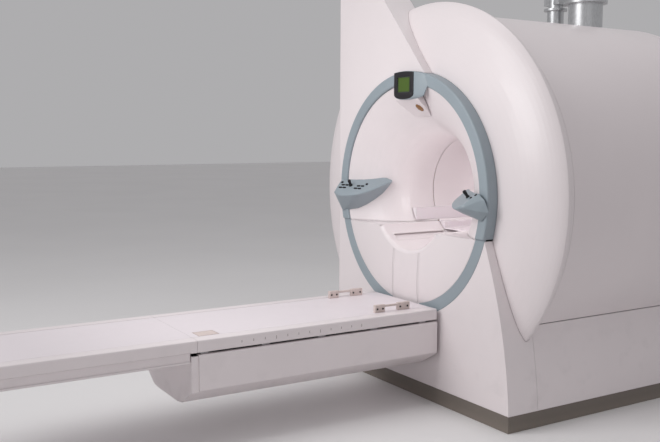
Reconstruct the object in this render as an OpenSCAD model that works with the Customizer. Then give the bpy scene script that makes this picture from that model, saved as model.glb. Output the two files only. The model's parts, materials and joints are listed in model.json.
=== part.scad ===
// Whole-body magnetic resonance scanner with a lifting patient table.
// Frame: origin on the floor under the middle of the magnet, bore along Y,
// table towards -Y, +Z up. Millimetres.

/* [Gantry] */
// Height of the bore's axis above the floor
axis_h = 1064; // [1050:1:1080]
// Length of the gantry over its covers
gantry_len = 1600; // [1560:5:1640]
// Radius of the patient bore
bore_r = 300; // [296:1:304]
// Wall of the moulded covers
skin = 6; // [4:0.5:8]
// Height of the dark plinth round the foot
plinth_h = 81; // [60:1:100]
// Half width of the lower covers at the floor
foot_half = 803; // [790:1:820]
// Assembly gap between two covers
seam = 0.3; // [0.2:0.1:0.6]

/* [Ring] */
// Outer radius of the coloured ring
ring_r = 640; // [632:1:648]
// Width of the ring's band
ring_w = 62; // [52:1:70]
// How far the upper hoop stands in front of the cover
hoop_proud = 12; // [6:1:18]
// How far above the ledge the hoop ends
hoop_lift = 6; // [2:1:12]

/* [Drum] */
// How high the drum's rim stands above the floor
rim_lift = 64; // [58:1:74]
// Distance of the rim behind the front face
rim_y = 145; // [135:1:155]
// How far the rim stands over the drum behind it
drum_step = 55; // [48:1:60]
// Length over which the rim falls to the drum
rim_fall = 88; // [70:1:100]

/* [Front cover] */
// Distance of the left edge from the bore's axis
tower_x = 670; // [660:1:690]
// Height of the tall left panel
tower_h = 2200; // [2150:5:2260]
// Depth of the front cover's returns
return_d = 185; // [175:1:195]

/* [Funnel] */
// Depth of the front funnel
funnel_len = 410; // [390:1:430]
// Depth of the rear funnel
rear_funnel_len = 250; // [230:1:270]
// How far the ledge for the tabletop lies below the bore's axis
ledge_drop = 184; // [180:1:192]
// Open joint round the bore and along the ledge
joint_gap = 4; // [2:0.5:6]
// Crown of the bib below the ledge
bib_crown = 8; // [4:1:10]

/* [Magnet] */
// Distance between the vacuum vessel and the drum's outer face
vessel_gap = 30; // [26:1:40]
// Radius of the vessel's warm bore
warm_r = 450; // [446:1:454]
// How far the vacuum vessel ends inside the gantry's ends
vessel_end_gap = 100; // [96:1:110]
// How far the gradient coil ends inside the vessel's ends
gradient_end_gap = 125; // [120:1:140]
// Inner radius of the gradient coil
gradient_r = 346; // [344:1:350]
// Thickness of the gradient coil
gradient_t = 92; // [80:1:96]

/* [Table] */
// Height of the tabletop at its lowest
top_z = 502.5; // [495:0.5:510]
// How far the raised tabletop clears the ledge
board_gap = 2.5; // [1:0.5:3]
// Half width of the table over its side rails
table_half = 296; // [290:1:300]
// Half width of the tabletop board
board_half = 234; // [230:0.5:234.5]
// Thickness of the tabletop board
board_t = 30; // [26:0.5:32]
// Height of the table's side rails
rail_h = 55; // [52:1:60]
// Gap between the table's end and the front face
table_gap = 25; // [22:1:40]
// Length of the table from its gantry end to the cross seam
table_len = 1297.5; // [1250:2.5:1330]
// Length of the foot extension
foot_len = 1080; // [900:10:1100]
// Height of the trough's top edge
trough_top = 437; // [434:1:440]
// Height of the trough's belly
trough_bottom = 195; // [185:1:205]
// Gap between the trough and the front face
trough_gap = 18; // [16:1:24]

/* [Lift] */
// Radius of the guide posts
post_r = 18; // [14:0.5:20]
// Distance of each guide post from the middle
post_x = 170; // [165:1:176]
// Radius of the lifting screw
screw_r = 14; // [11:0.5:15]
// Distance of each arm blade from the middle
blade_x = 110; // [106:1:114]
// Thickness of an arm blade
blade_t = 9; // [8:0.5:12]
// Height of an arm blade
blade_h = 105; // [90:1:108]
// Height of the arm blades' lower edge
blade_z = 240; // [234:1:242]
// Radius of the screw's pulley
screw_pulley_r = 30; // [26:1:32]
// Radius of the motor's pulley
motor_pulley_r = 20; // [16:1:22]
// Radial running clearance
run_gap = 0.06; // [0.03:0.01:0.1]

/* [Consoles] */
// Slope of the control panels
panel_tilt = 34; // [32:1:36]
// How far the control panels turn towards the bore
panel_yaw = 27; // [25:1:29]
// Distance of a joystick from the middle
stick_x = 514; // [510:1:518]
// How far a joystick's foot stands in front of the front face
stick_out = 23; // [20:1:26]
// Height of a joystick's foot above the bore's axis
stick_up = 19; // [14:1:24]
// Radius of a joystick
stick_r = 8.5; // [7:0.25:9]
// Length of a joystick above its panel
stick_len = 38; // [30:1:45]
// Length of an oblong button
oblong_l = 22; // [18:0.5:24]
// Width of an oblong button
oblong_w = 10; // [8:0.25:11]
// Radius of a round button
round_r = 7; // [5.5:0.25:7.5]
// Height of a button above its panel
button_proud = 3; // [2:0.25:4]

/* [Display] */
// Half width of the display's bezel
bezel_half = 82; // [76:1:86]
// Height of the display's bezel
bezel_h = 138; // [130:1:142]
// How far the display's housing stands off the hoop
housing_d = 18; // [15:1:24]

/* [Hidden] */
$fn = 96;

front = -gantry_len / 2;
rear = gantry_len / 2;
ring_in = ring_r - ring_w;
hoop_back = 50;
mouth_r = ring_in - 3;
rim_r = axis_h - rim_lift;
drum_r = rim_r - drum_step;
vessel_r = drum_r - vessel_gap;
vessel_half = gantry_len / 2 - vessel_end_gap;
gradient_half = vessel_half - gradient_end_gap;
ledge_z = axis_h - ledge_drop;
lift_stroke = ledge_z + board_gap - (top_z - board_t);
hoop_low = ledge_z + hoop_lift;
table_end = front - table_gap;
seam_y = table_end - table_len;
foot_end = seam_y - foot_len;
trough_end = front - trough_gap;
trough_foot = seam_y - 27;
rail_z = top_z - rail_h;
post_y = front + 62;

warm = [0.93, 0.91, 0.88];
ring_colour = [0.56, 0.66, 0.68];
plinth_colour = [0.42, 0.38, 0.36];
steel = [0.62, 0.64, 0.66];
dark = [0.06, 0.06, 0.07];
copper = [0.72, 0.45, 0.28];

// Points of a curve y = f(x), then the same curve moved by (dx, dy) back again
function band(points, back) = concat(points, [for (i = [len(points) - 1 : -1 : 0]) back[i]]);

// Radius of the funnel at a depth behind its mouth
function flare(y, length) = bore_r + (mouth_r - bore_r) * pow(max(0, 1 - y / length), 3);
function flare_slope(y, length) =
    -3 * (mouth_r - bore_r) / length * pow(max(0, 1 - y / length), 2);
// The funnel's curve moved outwards by t along its normal
function flare_out(y, length, t) =
    let (s = flare_slope(y, length), n = sqrt(1 + s * s))
    [flare(y, length) + t / n, y - t * s / n];

// Depth of the domed drum cover behind the front face
function dome_y(r) =
    hoop_back + (rim_y - hoop_back + 20) * (1 - sqrt(1 - pow((r - ring_r) / (rim_r - ring_r + 10), 2)));
rim_start = dome_y(rim_r);
function rim_fall_r(s) = drum_r + (rim_r - drum_r) * (0.5 + 0.5 * cos(180 * s));

// Half width of the lower covers at a height
flare_a = 0.0601;
flare_b = 0.0002265;
function side_x(z) = foot_half - flare_a * (z - plinth_h) - flare_b * pow(z - plinth_h, 2);
side_top = axis_h - 194;
// Height at which the drum's surface meets the lower covers' sides
skirt_top = axis_h - 582;

// Turns a profile of [radius, depth behind the front face] round the bore
module round_bore(points) {
    translate([0, front, axis_h]) rotate([-90, 0, 0]) rotate_extrude($fn = 128) polygon(points);
}

// The same for a part of a turn, from a lower angle on the right to one on the left
module round_bore_arc(points, from, to) {
    translate([0, front, axis_h]) rotate([-90, 0, 0]) rotate([0, 0, -to])
        rotate_extrude(angle = to - from, $fn = 128) polygon(points);
}

// A tube round the bore
module bore_tube(r_in, r_out, y0, y1) {
    translate([0, y0, axis_h]) rotate([-90, 0, 0]) difference() {
        cylinder(r = r_out, h = y1 - y0, $fn = 128);
        translate([0, 0, -1]) cylinder(r = r_in, h = y1 - y0 + 2, $fn = 128);
    }
}

module bore_rod(r, y0, y1, x = 0, z = axis_h) {
    translate([x, y0, z]) rotate([-90, 0, 0]) cylinder(r = r, h = y1 - y0);
}

// A flat outline in X and Z, drawn out along Y
module upright(y0, y1, points) {
    translate([0, y1, 0]) rotate([90, 0, 0]) linear_extrude(y1 - y0) polygon(points);
}

module block(x0, x1, y0, y1, z0, z1) {
    translate([x0, y0, z0]) cube([x1 - x0, y1 - y0, z1 - z0]);
}

module both_sides() {
    children();
    mirror([1, 0, 0]) children();
}

side_steps = [for (i = [0 : 16]) plinth_h + (side_top - plinth_h) * i / 16];

// Outline of the front cover, moved inwards by t; its foot stays open
function cover_outline(t, foot) = concat(
    [[-tower_x + t, foot]],
    [for (z = side_steps) [side_x(z) - t, z == plinth_h ? foot : z]],
    [[ring_r - 60 - t, axis_h], [135 - t, axis_h + ring_r - 14],
     [7 - t * 1.35, axis_h + 770], [-119 - t * 1.35, axis_h + 911],
     [-322 - t * 1.35, tower_h - t],
     [-tower_x + t, tower_h - t]]);

dome_steps = [for (i = [0 : 14]) ring_r + seam + (rim_r - ring_r - seam) * sin(90 * i / 14)];
rim_steps = [for (i = [1 : 10]) i / 10];
dome_line = concat([for (r = dome_steps) [r, dome_y(r)]],
    [for (s = rim_steps) [rim_fall_r(s), rim_start + 4 + rim_fall * s]]);
drum_start = rim_start + 4 + rim_fall;

// All that lies behind the domed cover's outer face
module behind_dome(gap) {
    round_bore(concat([for (p = dome_line) [p[0] + (p[1] > rim_start ? gap : 0), p[1] - gap]],
        [[drum_r + gap, gantry_len], [0, gantry_len], [0, hoop_back - gap]]));
}

// The block of the lower covers, from the floor to the drum
module lower_block(y0, y1, grow = 0) {
    upright(y0, y1, concat([[foot_half + grow, -1]], [for (z = side_steps) [side_x(z) + grow, z]],
        [for (i = [16 : -1 : 0]) [-side_x(side_steps[i]) - grow, side_steps[i]]], [[-foot_half - grow, -1]]));
}

slot_w = blade_t + 3;
slot_z0 = blade_z - 5;
slot_z1 = blade_z + blade_h + lift_stroke + 5;

// The two narrow slots that the table's arms pass through
module arm_slots() {
    both_sides()
        block(blade_x - slot_w / 2, blade_x + slot_w / 2, front - 60, front + 36, slot_z0, slot_z1);
}

module front_cover() {
    color(warm) difference() {
        upright(front, front + return_d, cover_outline(0, plinth_h));
        upright(front + skin, front + return_d - skin, cover_outline(skin, 0));
        behind_dome(seam);
        bore_rod(ring_r + seam, front - 1, front + return_d + 1);
        arm_slots();
    }
}

module drum_front_cover() {
    color(warm) difference() {
        round_bore(band(dome_line, concat([for (r = dome_steps) [min(r, rim_r - skin), dome_y(r) + skin]],
            [for (s = rim_steps) [rim_fall_r(s) - skin, rim_start + 4 + rim_fall * s]])));
        // The front cover and the right skirt close this part
        intersection() {
            lower_block(front, rear, seam);
            block(0, foot_half + 50, front, rear, 0, side_top);
        }
        block(-tower_x + skin, 0, front, rear, 0, skirt_top);
        intersection() {
            lower_block(front + left_front - seam, rear, seam);
            block(-foot_half - 50, 0, front, rear, 0, skirt_top + seam);
        }
    }
}

drum_end = gantry_len - 122;

module drum_side_covers() {
    color(warm) difference() {
        bore_tube(drum_r - skin, drum_r, front + drum_start + seam, front + drum_end);
        block(-foot_half - 50, foot_half + 50, front, rear, 0, skirt_top + seam);
        block(-seam, seam, front, rear, axis_h, axis_h + drum_r + 10);
        turret_neck(8);
        cold_neck(8);
    }
}

rear_disc_r = 470;
corner_r = 60;
// Profile of the rear cover from the drum round its soft corner to the funnel
rear_line = concat([[drum_r, drum_end + seam], [drum_r, gantry_len - corner_r]],
    [for (a = [15 : 15 : 90])
        [drum_r - corner_r + corner_r * cos(a), gantry_len - corner_r + corner_r * sin(a)]],
    [[rear_disc_r + 1, gantry_len]]);

// All that lies inside the rear cover's outer face
module rear_form(gap) {
    round_bore(concat([[0, drum_end - 1], [drum_r + gap, drum_end - 1],
        [drum_r + gap, gantry_len - corner_r]],
        [for (a = [15 : 15 : 90]) [drum_r - corner_r + (corner_r + gap) * cos(a),
            gantry_len - corner_r + (corner_r + gap) * sin(a)]],
        [[0, gantry_len + gap]]));
}

rear_steps = [for (i = [0 : 12]) i / 12];
function rear_flare(s) = bore_r + (rear_disc_r - bore_r) * pow(1 - s, 2);

// The rear cover and its flared mouth, moulded in one
module rear_cover() {
    color(warm) round_bore(concat(rear_line,
        [for (s = rear_steps) [rear_flare(s), gantry_len - rear_funnel_len * s]],
        [for (i = [12 : -1 : 1]) [rear_flare(i / 12) + skin, gantry_len - rear_funnel_len * i / 12]],
        [[rear_disc_r + skin, gantry_len - skin]],
        [for (a = [90 : -15 : 0]) [drum_r - corner_r + (corner_r - skin) * cos(a),
            gantry_len - corner_r + (corner_r - skin) * sin(a)]],
        [[drum_r - skin, drum_end + seam]]));
}

// Front wall of the left skirt, set back beside the tall panel
left_front = 100;

module skirt(y0, inner) {
    difference() {
        upright(y0, rear, concat([for (z = side_steps) if (z < skirt_top) [side_x(z), z]],
            [[side_x(skirt_top), skirt_top], [seam, skirt_top], [seam, plinth_h]]));
        upright(y0 + inner, rear - skin, concat([[foot_half - skin, 0]],
            [for (z = side_steps) if (z < skirt_top) [side_x(z) - skin, z]],
            [[side_x(skirt_top) - skin, skirt_top + 1], [-1, skirt_top + 1], [-1, 0]]));
        bore_rod(drum_r + seam, front - 1, front + drum_end);
    }
}

// Both lower side covers: the right one whole, the left one round the tall panel
module side_skirts() {
    color(warm) {
        difference() {
            skirt(front + return_d + seam, -1);
            behind_dome(seam);
            rear_form(seam);
        }
        mirror([1, 0, 0]) difference() {
            skirt(front + left_front, skin);
            block(0, tower_x + seam, front, front + return_d + seam, 0, skirt_top + 1);
            rear_form(seam);
        }
    }
}

plinth_wall = 18;

// Plan of the plinth, moved inwards by t
function plinth_plan(t) = [[foot_half - 2 - t, front + 2 + t], [foot_half - 2 - t, rear - 2 - t],
    [-foot_half + 2 + t, rear - 2 - t], [-foot_half + 2 + t, front + left_front + 2 + t],
    [-tower_x + 2 + t, front + left_front + 2 + t], [-tower_x + 2 + t, front + 2 + t]];

module plinth() {
    color(plinth_colour) difference() {
        linear_extrude(plinth_h - seam) polygon(plinth_plan(0));
        translate([0, 0, -1]) linear_extrude(plinth_h + 2) polygon(plinth_plan(plinth_wall));
    }
}

hoop_round = 9;
// Section of the hoop: soft front corners, flat back
hoop_section = concat([[ring_r, hoop_back]],
    [for (a = [0 : 15 : 90])
        [ring_r - hoop_round + hoop_round * cos(a), hoop_round - hoop_proud - hoop_round * sin(a)]],
    [for (a = [90 : 15 : 180])
        [ring_in + hoop_round + hoop_round * cos(a), hoop_round - hoop_proud - hoop_round * sin(a)]],
    [[ring_in, hoop_back]]);

module ring_hoop() {
    color(ring_colour) difference() {
        round_bore(hoop_section);
        block(-ring_r - 1, ring_r + 1, front - 50, front + 100, 0, hoop_low);
    }
}

module ring_inlay() {
    color(ring_colour) difference() {
        round_bore([[ring_in, 7], [ring_in, 0], [ring_in + 2, -1.5], [ring_r - 2, -1.5],
            [ring_r, 0], [ring_r, 7]]);
        block(-ring_r - 1, ring_r + 1, front - 50, front + 100, hoop_low - seam / 2, axis_h + ring_r + 1);
        arm_slots();
    }
}

funnel_steps = [for (i = [0 : 18]) i / 18];

module front_funnel() {
    color(warm) difference() {
        round_bore(band([for (s = funnel_steps) [flare(s * funnel_len, funnel_len), s * funnel_len]],
            [for (s = funnel_steps)
                let (p = flare_out(s * funnel_len, funnel_len, skin)) [p[0], min(p[1], funnel_len)]]));
        block(-ring_r, ring_r, front - 20, front + funnel_len + 1, 0, ledge_z + joint_gap);
    }
}

rim_fillet = 18;
bib_out = ring_in - 0.4;
// Crowned face of the bib from the ring to the scoop
function bib_y(r) = -bib_crown * sin(180 * pow((bib_out - r) / (bib_out - bore_r), 0.8));
bib_steps = [for (i = [0 : 10]) bib_out + (bore_r + rim_fillet - bib_out) * i / 10];
bib_line = concat([for (r = bib_steps) [r, bib_y(r)]],
    [for (a = [75 : -15 : 0]) [bore_r + rim_fillet * (1 - cos(a)), rim_fillet * (1 - sin(a))]],
    [[bore_r, funnel_len - seam]]);
bib_back = concat([for (r = bib_steps) [r, bib_y(r) + skin]],
    [for (a = [75 : -15 : 0])
        [bore_r + skin + (rim_fillet - skin) * (1 - cos(a)), skin + (rim_fillet - skin) * (1 - sin(a))]],
    [[bore_r + skin, funnel_len - seam]]);

// Upright returns behind the bib on both sides of each slot
flange_d = 34;
module slot_flanges() {
    intersection() {
        round_bore(concat([for (r = bib_steps) [r, bib_y(r) + 2]],
            [[bib_steps[10], flange_d], [bib_out, flange_d]]));
        both_sides() difference() {
            block(blade_x - slot_w / 2 - 3, blade_x + slot_w / 2 + 3,
                front - bib_crown, front + flange_d, axis_h - bib_out, slot_z1 + 3);
            block(blade_x - slot_w / 2, blade_x + slot_w / 2,
                front - 60, front + flange_d + 1, 0, slot_z1);
        }
    }
}

// Long recess in both walls of the scoop, grown by g
recess_top = 236;
recess_low = 267;
module scoop_recess(g, r_in, r_out) {
    intersection() {
        bore_tube(r_in, r_out, front + 52 - g, front + funnel_len - 8 + min(g, 8 - seam));
        both_sides() block(100, bore_r, front, front + funnel_len,
            axis_h - recess_low - g, axis_h - recess_top + g);
    }
}

module bib_panel() {
    color(warm) difference() {
        union() {
            slot_flanges();
            scoop_recess(10, bore_r + skin - 1, bore_r + 15.5);
            difference() {
                round_bore(band(bib_line, bib_back));
                block(-ring_r, ring_r, front - 20, front + funnel_len + 1, ledge_z - seam, axis_h + ring_r);
            }
            // The level ledge on both sides of the scoop
            intersection() {
                round_bore(concat([[0, bib_y(bib_steps[5]) + 2], [bib_out, 0]],
                    [for (s = funnel_steps) [flare(s * funnel_len, funnel_len) - seam, s * funnel_len]],
                    [[bore_r + 2, funnel_len - seam], [0, funnel_len - seam]]));
                both_sides() block(sqrt(pow(bore_r, 2) - pow(ledge_drop, 2)), ring_r,
                    front - bib_crown, front + funnel_len - seam, ledge_z - seam - skin, ledge_z - seam);
            }
        }
        scoop_recess(0, bore_r - 1, bore_r + 10);
        arm_slots();
    }
}

liner_t = 4;

module bore_liner() {
    color(warm) bore_tube(bore_r, bore_r + liner_t, front + funnel_len + joint_gap,
        rear - rear_funnel_len - seam / 2);
}

deck_z = ledge_z - 35;
bridge_y0 = front + funnel_len + joint_gap;
bridge_y1 = rear - 130;
// Inner face of the side pads, which guide the tabletop, and their height over the ledge
pad_x = board_half + 11;
pad_h = 81;
pad_y0 = front + 250;

// The bridge along the bottom of the bore: a deck between two raised runways,
// with a pad along each side that reaches out into the funnel
module bore_bridge() {
    color([0.88, 0.87, 0.85]) intersection() {
        bore_rod(bore_r - 0.3, pad_y0, bridge_y1);
        union() {
            block(-bore_r, bore_r, bridge_y0, bridge_y1, deck_z - 8, deck_z);
            both_sides() {
                block(190, bore_r, bridge_y0, bridge_y1, deck_z - 8, ledge_z - seam);
                block(60, 72, bridge_y0, bridge_y1, axis_h - bore_r, deck_z - 7);
                block(pad_x, bore_r, bridge_y0, bridge_y1, ledge_z - seam - 1, ledge_z + pad_h);
                block(pad_x, bore_r, pad_y0, bridge_y0 + 1, ledge_z + 0.2, ledge_z + pad_h);
            }
        }
    }
}

coil_gap = 14;
rungs = 16;

module body_coil() {
    r = bore_r + liner_t + coil_gap;
    half = gradient_half - 60;
    color(copper) {
        difference() {
            union() {
                bore_tube(r, r + 4, -half, half);
                for (y = [-half, half - 40]) bore_tube(r, gradient_r - seam, y, y + 40);
                for (y = [-half + 90, half - 130]) bore_tube(r, r + 7, y, y + 40);
                for (i = [0 : rungs - 1]) translate([0, 0, axis_h]) rotate([0, 360 * (i + 0.5) / rungs, 0])
                    block(r + 1, r + 7, -half + 100, half - 100, -12, 12);
            }
            bore_rod(r, -half - 1, half + 1);
        }
    }
}

module gradient_coil() {
    color([0.45, 0.33, 0.22]) {
        bore_tube(gradient_r, gradient_r + gradient_t, -gradient_half, gradient_half);
        for (y = [-gradient_half + 40, gradient_half - 90])
            bore_tube(gradient_r + gradient_t, warm_r - seam, y, y + 50);
        for (a = [30, 90, 150]) translate([0, 0, axis_h]) rotate([0, -a, 0])
            block(gradient_r + 20, gradient_r + 70, gradient_half, gradient_half + 34, -30, 30);
    }
}

// A closed vessel round the bore with walls of t
module vessel(r_in, r_out, half, t) {
    round_vessel = [[r_in, -half], [r_out, -half], [r_out, half], [r_in, half]];
    inner_vessel = [[r_in + t, -half + t], [r_out - t, -half + t],
        [r_out - t, half - t], [r_in + t, half - t]];
    translate([0, 0, axis_h]) rotate([-90, 0, 0]) difference() {
        rotate_extrude($fn = 128) polygon(round_vessel);
        rotate_extrude($fn = 128) polygon(inner_vessel);
    }
}

turret_y = vessel_half - 200;
cold_x = -240;
module turret_neck(grow) {
    translate([0, turret_y, axis_h + 600]) cylinder(r = 100 + grow, h = 700);
}
module cold_neck(grow) {
    translate([cold_x, turret_y, axis_h + 600]) cylinder(r = 52 + grow, h = 700);
}

rod_r = 8;
module at_rods() {
    rod_y = vessel_half - 250;
    for (y = [-rod_y, rod_y], a = [45 : 90 : 315])
        translate([0, y, axis_h]) rotate([0, a, 0]) children();
}

module vacuum_vessel() {
    color([0.85, 0.86, 0.86]) difference() {
        vessel(warm_r, vessel_r, vessel_half, 10);
        turret_neck(-8);
        cold_neck(-8);
    }
}

shield_in = 35;

module thermal_shield() {
    color([0.78, 0.79, 0.8]) difference() {
        vessel(warm_r + shield_in - 8, vessel_r - shield_in, vessel_half - shield_in, 4);
        turret_neck(-30);
        cold_neck(-12);
        at_rods() cylinder(r = rod_r + seam, h = vessel_r);
    }
}

helium_in = 68;
helium_r0 = warm_r + helium_in - 18;
helium_t = 7;

module helium_vessel() {
    color([0.74, 0.76, 0.78]) difference() {
        vessel(helium_r0, vessel_r - helium_in, vessel_half - helium_in, helium_t);
        turret_neck(-40);
    }
}

former_r = helium_r0 + helium_t + seam;
end_y = vessel_half - 190;
// Middle and half width of each winding along the bore
windings = [[-end_y, 75], [-280, 45], [-95, 30], [95, 30], [280, 45], [end_y, 75]];
winding_t = 60;
shield_winding = [[10 - end_y, 60], [end_y - 10, 60]];
// Distance of the webs that carry the shield windings, beside the end windings
web_y = windings[5][0] - windings[5][1] - 4;
shield_r = vessel_r - helium_in - helium_t - 75;

module coil_former() {
    half = vessel_half - helium_in - helium_t - 1;
    color([0.7, 0.72, 0.68]) difference() {
        union() {
            bore_tube(former_r, former_r + 14, -half, half);
            for (w = windings, e = [-w[1] - 12, w[1]])
                bore_tube(former_r + 1, former_r + 14 + winding_t, w[0] + e, w[0] + e + 12);
            for (w = shield_winding) {
                bore_tube(shield_r - 12, shield_r, w[0] - w[1] - 12, w[0] + w[1] + 12);
                for (e = [-w[1] - 12, w[1]]) bore_tube(shield_r - 1, shield_r + 50, w[0] + e, w[0] + e + 12);
                for (a = [0 : 45 : 315]) translate([0, sign(w[0]) * web_y, axis_h]) rotate([0, a, 0])
                    block(-8, 8, -6, 6, former_r + 8, shield_r - 6);
            }
        }
        for (w = windings) bore_tube(former_r + 14, former_r + 14 + winding_t + 1, w[0] - w[1], w[0] + w[1]);
    }
}

module magnet_coils() {
    color(copper) {
        for (w = windings)
            bore_tube(former_r + 14 + seam, former_r + 10 + winding_t,
                w[0] - w[1] + seam, w[0] + w[1] - seam);
        for (w = shield_winding)
            bore_tube(shield_r + seam, shield_r + 46, w[0] - w[1] + seam, w[0] + w[1] - seam);
    }
}

module suspension_rods() {
    color(steel) at_rods() translate([0, 0, vessel_r - helium_in + seam])
        cylinder(r = rod_r, h = helium_in - 10 - 2 * seam - 0.6);
}

foot_x = 550;
foot_y = vessel_half - 250;
foot_t = 30;
anchor_r = 11;
saddle_low = axis_h - 944;
saddle_top = axis_h - 734;

// Two saddles under the vessel, each on two anchored pads
module magnet_feet() {
    color([0.35, 0.37, 0.4]) for (s = [-1, 1]) difference() {
        union() {
            difference() {
                upright(s * foot_y - 30, s * foot_y + 30,
                    [[-foot_x - 60, foot_t - 1], [foot_x + 60, foot_t - 1], [foot_x + 60, saddle_low],
                    [foot_x - 20, saddle_top], [-foot_x + 20, saddle_top], [-foot_x - 60, saddle_low]]);
                bore_rod(vessel_r + 0.2, s * foot_y - 31, s * foot_y + 31);
            }
            for (x = [-foot_x, foot_x])
                block(x - 80, x + 80, s * foot_y - 80, s * foot_y + 80, 0, foot_t);
        }
        for (x = [-foot_x, foot_x]) for (e = [-1, 1])
            if (e == s) translate([x, s * foot_y + e * 50, -1]) cylinder(r = anchor_r, h = foot_t + 2);
    }
}

// Bands and standoffs that carry the covers on the vessel
module cover_frame() {
    color(steel) {
        for (y = [-400, 340]) round_bore_arc([[vessel_r + 0.2, y - front], [drum_r - skin - seam, y - front],
            [drum_r - skin - seam, y - front + 30], [vessel_r + 0.2, y - front + 30]], -34, 214);
        frame_y = hoop_back + seam;
        round_bore_arc([[ring_in + 12, frame_y], [ring_r - 4, frame_y], [ring_r - 4, frame_y + 9],
            [ring_in + 12, frame_y + 9]], -16, 196);
        for (a = [-10 : 25 : 190]) translate([0, 0, axis_h]) rotate([0, -a, 0])
            translate([ring_r - 26, front + frame_y + 8, 0]) rotate([-90, 0, 0])
                cylinder(r = 9, h = gantry_len / 2 - vessel_half - frame_y - 8 - 0.2);
    }
}

// The helium turret with its vent flange, and the cold head beside it
module service_turret() {
    color([0.86, 0.87, 0.88]) {
        turret_solid();
        cold_head_solid();
    }
}

module turret_solid() {
    base_z = axis_h + vessel_r - 20;
    difference() {
        union() {
            translate([0, turret_y, base_z]) cylinder(r = 99, h = 190);
            translate([0, turret_y, base_z + 190]) cylinder(r = 125, h = 16);
            translate([0, turret_y, base_z + 206]) cylinder(r = 60, h = 60);
            translate([0, turret_y, base_z + 266]) cylinder(r = 95, h = 14);
        }
        translate([0, turret_y, base_z - 1]) cylinder(r = 90, h = 180);
        translate([0, turret_y, base_z]) cylinder(r = 54, h = 300);
        bore_rod(vessel_r + 0.2, turret_y - 150, turret_y + 150);
        for (a = [45 : 90 : 315]) translate([80 * cos(a), turret_y + 80 * sin(a), base_z + 260])
            cylinder(r = 7, h = 30);
    }
}

module cold_head_solid() {
    base_z = axis_h + vessel_r - 60;
    difference() {
        union() {
            translate([cold_x, turret_y, base_z]) cylinder(r = 50, h = 215);
            translate([cold_x, turret_y, base_z + 215]) cylinder(r = 70, h = 14);
            translate([cold_x, turret_y, base_z + 229]) cylinder(r = 44, h = 70);
            block(cold_x - 60, cold_x + 60, turret_y - 40, turret_y + 90, base_z + 250, base_z + 290);
        }
        bore_rod(vessel_r + 0.2, turret_y - 150, turret_y + 150);
    }
}

base_t = 30;
base_x = 230;
lift_anchor_x = 210;
lift_anchor_y = 50;

module lift_base() {
    color([0.35, 0.37, 0.4]) difference() {
        union() {
            block(-base_x, base_x, front + 22, front + 98, 0, base_t);
            translate([0, post_y, base_t - 1]) cylinder(r = 24, h = 15);
        }
        translate([0, post_y, base_t - 8]) cylinder(r = screw_r + run_gap, h = 40);
        both_sides() for (s = [-1, 1])
            translate([lift_anchor_x, front + 60 + s * lift_anchor_y / 2, -1])
                cylinder(r = 7, h = base_t + 2);
    }
}

bracket_y = front + 86;
vessel_face = -vessel_half - 0.2;
post_top = blade_z + blade_h + lift_stroke + 8;
screw_top = blade_z + 60 + lift_stroke + 25;

module lift_brackets() {
    color(steel) {
        both_sides() {
            block(post_x - 22, post_x + 22, bracket_y, vessel_face, post_top - 203, post_top + 20);
            block(post_x - 22, post_x + 22, post_y - 22, bracket_y + 1, post_top + seam, post_top + 20);
        }
        difference() {
            union() {
                block(-30, 30, post_y + nut_r + 1, vessel_face, screw_top - 195, screw_top);
                block(-30, 30, post_y - 24, vessel_face, screw_top - 18, screw_top);
            }
            translate([0, post_y, screw_top - 20]) cylinder(r = screw_r + run_gap, h = 30);
        }
    }
}

module guide_posts() {
    color([0.8, 0.81, 0.82]) both_sides() translate([post_x, post_y, base_t])
        cylinder(r = post_r, h = post_top - base_t);
}

pulley_z = 50;
pulley_h = 20;
motor_x = 92;

module lift_screw() {
    color([0.72, 0.73, 0.74]) {
        translate([0, post_y, base_t - 6]) cylinder(r = screw_r, h = screw_top - base_t + 4);
        translate([0, post_y, pulley_z]) cylinder(r = screw_pulley_r, h = pulley_h);
        for (z = [pulley_z - 3, pulley_z + pulley_h]) translate([0, post_y, z])
            cylinder(r = screw_pulley_r + 4, h = 3);
    }
}

motor_r = 32;
shaft_r = 6;

module motor_pulley() {
    color([0.3, 0.31, 0.33]) translate([motor_x, post_y, 0]) {
        translate([0, 0, pulley_z]) cylinder(r = motor_pulley_r, h = pulley_h);
        for (z = [pulley_z - 3, pulley_z + pulley_h])
            translate([0, 0, z]) cylinder(r = motor_pulley_r + 4, h = 3);
        translate([0, 0, pulley_z - 4]) cylinder(r = shaft_r, h = 50);
    }
}

module lift_motor() {
    shelf_z = pulley_z + pulley_h + 10;
    color([0.2, 0.21, 0.23]) difference() {
        union() {
            translate([motor_x, post_y, shelf_z + 7]) cylinder(r = motor_r, h = 95);
            block(motor_x - 33, motor_x + 33, front + 24, front + 98, shelf_z, shelf_z + 8);
            for (y = [front + 24, front + 92])
                block(motor_x - 33, motor_x + 33, y, y + 6, base_t + 0.2, shelf_z + 1);
        }
        translate([motor_x, post_y, shelf_z - 1]) cylinder(r = shaft_r + run_gap, h = 40);
    }
}

belt_t = 2.5;

// A block round both pulleys, grown by g
module belt_block(g, z0, h) {
    a = screw_pulley_r + g;
    b = motor_pulley_r + g;
    t = acos((a - b) / motor_x);
    lap = 0.999;
    translate([0, post_y, z0]) cylinder(r = a, h = h);
    translate([motor_x, post_y, z0]) cylinder(r = b, h = h);
    translate([0, post_y, z0]) linear_extrude(h) polygon([[a * lap * cos(t), a * lap * sin(t)],
        [motor_x + b * lap * cos(t), b * lap * sin(t)], [motor_x + b * lap * cos(t), -b * lap * sin(t)],
        [a * lap * cos(t), -a * lap * sin(t)]]);
}

module lift_belt() {
    color(dark) difference() {
        belt_block(seam + belt_t, pulley_z + 2, pulley_h - 4);
        belt_block(seam, pulley_z + 1, pulley_h - 2);
    }
}

nut_r = 26;
nut_z = blade_z + 8;
nut_h = 48;

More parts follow.
